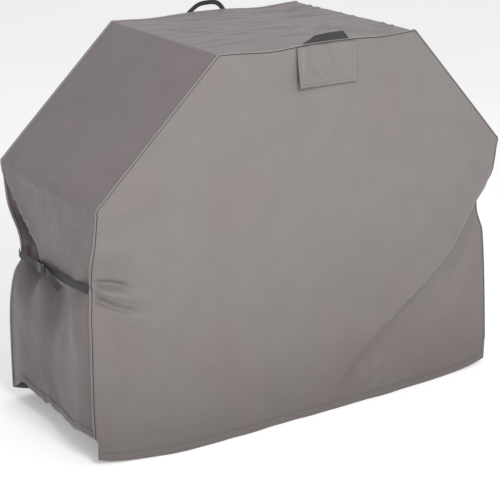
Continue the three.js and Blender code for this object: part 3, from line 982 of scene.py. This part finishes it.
BINDING_RING = [(-0.003, -0.0002), (-0.002, 0.0009), (0.005, 0.0011), (0.0112, 0.0009), (BINDING, -0.0002)]
BINDING_STEPS = 24        # along each side of the opening
BINDING_RUN = 0.4         # length of the tape on its own flat pattern
NET_STEP = 0.0036
NET_THREAD = 0.00045
NET_MARGIN = 0.008        # of net under the binding
NET_DEPTH = 0.003
FLAP_COLUMNS = 72
FLAP_ROWS = 44
FLAP_HEM = 0.011
FLAP_REST = 0.0036        # the flap's distance from the face at its seam
FLAP_LEAST = 0.0026       # its least distance, and what its hem adds
NEAR_LIFT, FAR_LIFT = 0.022, 0.01         # of its lower corners, as seen from the face: left and right
FLAP_STITCH = 0.0015      # from the flap's edge and from the hem's inner edge
FLAP_THREAD = 0.0003      # height of its stitches

# Folds of a flap: start, end, width, height and bow. The ends are shares of its width and height.
FLAP_FOLDS = [
    ((0.16, -0.3), (0.06, 1.0), 0.045, 0.008), ((0.2, -0.3), (0.42, 0.95), 0.055, -0.008, 0.02),
    ((0.36, -0.4), (0.66, 0.8), 0.055, 0.0075, 0.02), ((0.78, -0.3), (0.58, 0.6), 0.05, -0.006),
    ((0.82, -0.4), (0.92, 0.8), 0.05, 0.005), ((0.1, 0.82), (0.62, 0.66), 0.05, 0.0026),
]


def face_places(side, x, z, lift):
    i, j = find(side, x, z)
    return FACES[side].at(i, j, lift)


def vent_binding(side):
    """A flat tape round the vent's opening, mitred at its corners."""
    x, z, half_x, half_z = VENT_HOLES[side]
    reach, lift = np.array(BINDING_RING).T
    corners = [(-1, -1), (1, -1), (1, 1), (-1, 1), (-1, -1)]
    sections, flat = [], []
    for (a, b), (c, d) in zip(corners, corners[1:]):
        for k in range(BINDING_STEPS):
            p, q = a + (c - a) * k / BINDING_STEPS, b + (d - b) * k / BINDING_STEPS
            sections.append(face_places(side, x + p * (half_x + reach), z + q * (half_z + reach), lift))
            run = len(sections) * BINDING_RUN / (4 * BINDING_STEPS)
            flat.append([(run, out) for out in reach])
    ids = np.arange(len(sections) * len(reach)).reshape(len(sections), -1)
    faces = tube(np.concatenate([ids, ids[:1]]))
    builder = Builder()
    builder.add(np.concatenate(sections), faces, np.concatenate(flat))
    return builder.make(f"{side}_vent_tape", FACE_CLOTH)


def vent_net(side):
    """Crossing threads that pass over and under each other, behind the opening."""
    x, z, half_x, half_z = VENT_HOLES[side]
    reach_x, reach_z = half_x + NET_MARGIN, half_z + NET_MARGIN
    builder = Builder()
    for lengthways in (True, False):
        reach, other = (reach_x, reach_z) if lengthways else (reach_z, reach_x)
        for n, offset in enumerate(np.arange(-other, other, NET_STEP)):
            run = np.arange(-reach, reach, NET_STEP / 3)
            phase = np.pi * (run / NET_STEP + n + (0 if lengthways else 1))
            sections = []
            for side_step, up in ((1, 0), (0, 1), (-1, 0), (0, -1)):
                across = np.full(len(run), offset) + side_step * NET_THREAD
                spots = (x + run, z + across) if lengthways else (x + across, z + run)
                lift = up * NET_THREAD - NET_DEPTH + 0.0003 * np.sin(phase)
                sections.append(face_places(side, spots[0], spots[1], lift))
            builder.add(*swept(np.stack(sections, axis=1), np.zeros((len(run) * 4, 2))))
    return builder.make(f"{side}_vent_mesh", NET)


def vent_flap(side):
    """The flap over a vent: sewn along its top, hemmed on three sides and pulled by the handle above it."""
    lo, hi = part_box(f"{side}_vent_flap")
    sign = -1 if side == "front" else 1
    a, b = np.meshgrid(np.linspace(0, 1, FLAP_COLUMNS + 1), np.linspace(0, 1, FLAP_ROWS + 1))
    x, z = lo.x + (hi.x - lo.x) * a, hi.z - (hi.z - lo.z) * b
    drop = hi.z - z
    in_view = a if side == "front" else 1 - a
    lift = FLAP_REST + NEAR_LIFT * b**1.6 * (1 - in_view) ** 2 + FAR_LIFT * b**2 * in_view**3
    for fold in FLAP_FOLDS:
        lift = lift + crease(in_view, b, *fold)
    edge = np.minimum(np.minimum(x - lo.x, hi.x - x), z - lo.z)
    lift = np.maximum(lift, FLAP_LEAST) + FLAP_LEAST * smooth_step((FLAP_HEM - edge) / 0.003)
    points = np.stack([x, np.full_like(x, sign * HALF_DEPTH), z], axis=-1)
    points[..., 1] += sign * lift
    points[..., 2] += 0.006 * b * (lift - FLAP_REST) / NEAR_LIFT
    panel = Panel(points, np.stack([x, z], axis=-1), sign)
    flap = cloth_piece(f"{side}_flap_cloth", panel, FACE_CLOTH, body=f"{side}_flap")
    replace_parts(flap, f"{side}_vent_flap")
    rows, columns = np.arange(FLAP_ROWS - 2), np.arange(3, FLAP_COLUMNS - 2)
    thread = Builder()
    step_x, step_z = (hi.x - lo.x) / FLAP_COLUMNS, drop.max() / FLAP_ROWS
    for inset in (FLAP_STITCH, FLAP_HEM - FLAP_STITCH):
        stitch_line(thread, panel, rows, inset / step_x, FLAP_THREAD)
        stitch_line(thread, panel, rows, FLAP_COLUMNS - inset / step_x, FLAP_THREAD)
        stitch_line(thread, panel, FLAP_ROWS - inset / step_z, columns, FLAP_THREAD)
    thread.make(f"{side}_flap_stitches", THREAD, f"{side}_flap", smooth=False)


for side in FACES:
    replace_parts(vent_binding(side), f"{side}_vent_binding")
    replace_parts(vent_net(side), f"{side}_vent_net")
    vent_flap(side)


# ---- webbing ----

SPLINE_STEPS = 8
FOLDED_WEBBING = 0.0028   # thickness of the front handle's doubled webbing
STRAP_THICKNESS = 0.0015
SEAM_X = 0.789            # where the straps enter the drawn-in seams

# Webbing's section, in shares of its width and thickness, with full, rounded edges.
TAPE_SECTION = [
    (-0.5, 0.0), (-0.48, 0.45), (-0.4, 0.5), (0.0, 0.42), (0.4, 0.5), (0.48, 0.45), (0.5, 0.0),
    (0.48, -0.45), (0.4, -0.5), (0.0, -0.42), (-0.4, -0.5), (-0.48, -0.45),
]


def spline(points):
    """A smooth path through points, in SPLINE_STEPS steps from each to the next."""
    return refine(np.repeat(np.array(points, float)[:, None], 2, axis=1), SPLINE_STEPS)[:, 0]


def ribbon(path, outward, width, thickness):
    """Webbing of one width along a path, with its flat side facing outward."""
    path, outward = np.asarray(path), np.broadcast_to(outward, np.shape(path))
    ahead = unit(np.gradient(path, axis=0))
    normal = unit(outward - ahead * (outward * ahead).sum(1, keepdims=True))
    across = np.cross(ahead, normal)
    run = run_along(path)
    sections = [path + across * a * width + normal * b * thickness for a, b in TAPE_SECTION]
    flat = [np.stack([run, np.full(len(run), a * width)], axis=1) for a, _ in TAPE_SECTION]
    return swept(np.stack(sections, axis=1), np.stack(flat, axis=1))


def front_handle():
    """Folded webbing that lies low along the seam: wide at its foot, narrower along its top."""
    lo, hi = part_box("front_handle")
    middle, half = (lo.x + hi.x) / 2, (hi.x - lo.x) / 2
    foot, top = HEIGHT + 0.002, HEIGHT + 0.028
    a, b = np.meshgrid(np.linspace(-1, 1, 61), np.linspace(0, 1, 13))
    x = middle + a * (half + 0.002 - 0.034 * b) + 0.009 * b
    z = foot + (top - foot) * b + 0.0012 * np.cos(2.2 * a) * b + 0.002 * a * b
    y = lo.y - 0.001 - 0.0022 * np.sin(np.pi * b) - 0.0008 * np.sin(5 * a + 0.6) * b
    panel = Panel(np.stack([x, y, z], axis=-1), np.stack([x, z], axis=-1), 1)
    handle = cloth_piece(
        "front_handle_webbing", panel, WEBBING, body="front_handle", thickness=FOLDED_WEBBING
    )
    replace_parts(handle, "front_handle")


def back_handle():
    """A free arch of webbing behind the top seam."""
    lo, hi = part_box("back_handle")
    y = (lo.y + hi.y) / 2
    foot, crown = HEIGHT - 0.002, hi.z - 0.01
    span = hi.x - lo.x
    shape = [(0.07, 0.0), (0.14, 0.3), (0.28, 0.78), (0.42, 0.98), (0.66, 1.0), (0.8, 0.72), (0.92, 0.0)]
    path = spline([(lo.x + span * s, y, foot + (crown - foot) * up) for s, up in shape])
    made = ribbon(path, (0, 1, 0.12), 0.017, 0.0022)
    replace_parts(piece_of("back_handle_webbing", made, WEBBING, "back_handle"), "back_handle")


# Points of the straps and the tail: share of the way, distance outwards and drop.
FRONT_WAY = [
    (0.05, -0.004, 0), (0.14, -0.0005, 0.001), (0.35, 0, 0.003), (0.6, 0, 0.003), (0.8, 0, 0.001),
    (0.93, 0, 0), (1, 0, 0),
]
REAR_WAY = [(0, 0, 0), (0.1, 0, 0), (0.3, 0, 0.002), (0.6, 0, 0.003), (0.9, -0.003, 0.001)]
TAIL_WAY = [              # its drop is a share of the tail's fall
    (0, 0, 0), (0.2, 0.005, 0.02), (0.45, 0.011, 0.18), (0.7, 0.013, 0.48), (0.9, 0.012, 0.85), (1, 0.012, 1),
]


def along(x, start, end, way, fall=1.0):
    """The points of a way between two (y, z) places in the upright plane at x."""
    (y, z), (to_y, to_z) = start, end
    out = 1 if x > 0 else -1
    return [(x + out * off, y + (to_y - y) * at, z + (to_z - z) * at - fall * down) for at, off, down in way]


def side_straps(side):
    """The two straps from the seams to the buckle, and the loose tail that hangs over the front one."""
    out = -1 if side == "left" else 1
    half = STRAP_WIDTH / 2
    lo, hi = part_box(f"{side}_front_strap")
    x = out * (abs(lo.x + hi.x) / 2 + 0.0004)
    start, end = (lo.y, hi.z - half), (hi.y, lo.z + half)
    path = [(out * SEAM_X, start[0] - 0.001, start[1])] + along(x, start, end, FRONT_WAY)
    made = ribbon(spline(path), (out, 0, 0), STRAP_WIDTH, STRAP_THICKNESS)
    strap = piece_of(f"{side}_front_webbing", made, WEBBING, None)
    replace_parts(strap, f"{side}_front_strap")
    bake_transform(strap)

    lo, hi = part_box(f"{side}_rear_strap")
    start, end = (lo.y, hi.z - half), (hi.y, lo.z + half)
    path = along(x, start, end, REAR_WAY) + [(out * SEAM_X, end[0] + 0.001, end[1])]
    made = ribbon(spline(path), (out, 0, 0), STRAP_WIDTH, STRAP_THICKNESS)
    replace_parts(piece_of(f"{side}_rear_webbing", made, WEBBING), f"{side}_rear_strap")

    lo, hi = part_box(f"{side}_strap_tail")
    x, z = out * (abs(lo.x + hi.x) / 2 + 0.0006), hi.z - half
    line = spline(along(x, (hi.y, z), (lo.y, z), TAIL_WAY, hi.z - lo.z - STRAP_WIDTH))
    facing = [(out, 0, turn) for turn in np.linspace(0, 0.55, len(line))]
    made = ribbon(line, facing, STRAP_WIDTH - 0.001, STRAP_THICKNESS - 0.0001)
    tail = piece_of(f"{side}_tail_webbing", made, WEBBING, f"{side}_plug")
    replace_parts(tail, f"{side}_strap_tail")


front_handle()
back_handle()
for side in ("left", "right"):
    side_straps(side)


# ---- carried-over parts ----


def dress(node, material, bevel=None):
    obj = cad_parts[node]
    obj.data.materials.clear()
    obj.data.materials.append(material)
    if bevel:
        rounding = obj.modifiers.new("rounding", "BEVEL")
        rounding.width = bevel
        rounding.segments = 3
        rounding.limit_method = "ANGLE"
        rounding.harden_normals = True


for side in ("left", "right"):
    for part in ("socket", "plug", "upper_prong", "lower_prong"):
        dress(f"{side}_buckle_{part}", PLASTIC, 0.0009)
for side in FACES:
    for end in ("left", "right"):
        dress(f"{side}_handle_{end}_end", WEBBING, 0.0003)


# ---- floor, light and camera ----

FLOOR_REACH = 9.0
FLOOR_LEVEL = -0.0035     # just under the lowest place of the sagging front hem
FLOOR_GLOW = 0.26
AMBIENT = 0.66            # of the white surround, which the camera sees at full strength
floor = new_mesh(
    "floor",
    [(x, y, FLOOR_LEVEL) for x, y in ((-1, -1), (1, -1), (1, 1), (-1, 1))],
    [(0, 1, 2, 3)],
)
floor.scale = (FLOOR_REACH, FLOOR_REACH, 1)
pale = Graph("pale_floor", 0.85, 0.2)
pale.put("Base Color", pale.ramp(pale.noise(3.0, 4.0), [(0.3, even(0.86)), (0.7, even(0.89))]))
pale.shader.inputs["Emission Color"].default_value = (1, 1, 1, 1)
pale.shader.inputs["Emission Strength"].default_value = FLOOR_GLOW
floor.data.materials.append(pale.material)

world = bpy.data.worlds.new("studio")
world.use_nodes = True
backdrop = world.node_tree.nodes["Background"]
backdrop.inputs["Color"].default_value = (1, 1, 1, 1)
seen = world.node_tree.nodes.new("ShaderNodeLightPath")
strength = world.node_tree.nodes.new("ShaderNodeMapRange")
strength.inputs["To Min"].default_value = AMBIENT
world.node_tree.links.new(seen.outputs["Is Camera Ray"], strength.inputs["Value"])
world.node_tree.links.new(strength.outputs["Result"], backdrop.inputs["Strength"])
bpy.context.scene.world = world
bpy.context.scene.view_settings.view_transform = "Standard"


def softbox(name, place, size, power):
    light = bpy.data.lights.new(name, "AREA")
    light.shape = "SQUARE"
    light.size = size
    light.energy = power
    obj = bpy.data.objects.new(name, light)
    obj.location = place
    aim = Vector((0, 0, HEIGHT / 2)) - Vector(place)
    obj.rotation_euler = aim.to_track_quat("-Z", "Y").to_euler()
    bpy.context.scene.collection.objects.link(obj)


softbox("key", (-0.9, -4.3, 3.4), 1.6, 175)
softbox("top", (0.9, 0.4, 4.2), 2.4, 16)

AZIMUTH, ELEVATION, DISTANCE = math.radians(-33.086), math.radians(18.557), 5.198
TARGET = Vector((-0.0245, 0, 0.5426))
SENSOR, FOCAL_LENGTH = 36, 106.03         # in millimetres
lens = bpy.data.cameras.new("camera")
lens.sensor_width = SENSOR
lens.lens = FOCAL_LENGTH
camera = bpy.data.objects.new("camera", lens)
towards = Vector((
    math.sin(AZIMUTH) * math.cos(ELEVATION), -math.cos(AZIMUTH) * math.cos(ELEVATION), math.sin(ELEVATION)
))
camera.location = TARGET + towards * DISTANCE
camera.rotation_euler = towards.to_track_quat("Z", "Y").to_euler()
bpy.context.scene.collection.objects.link(camera)
bpy.context.scene.camera = camera
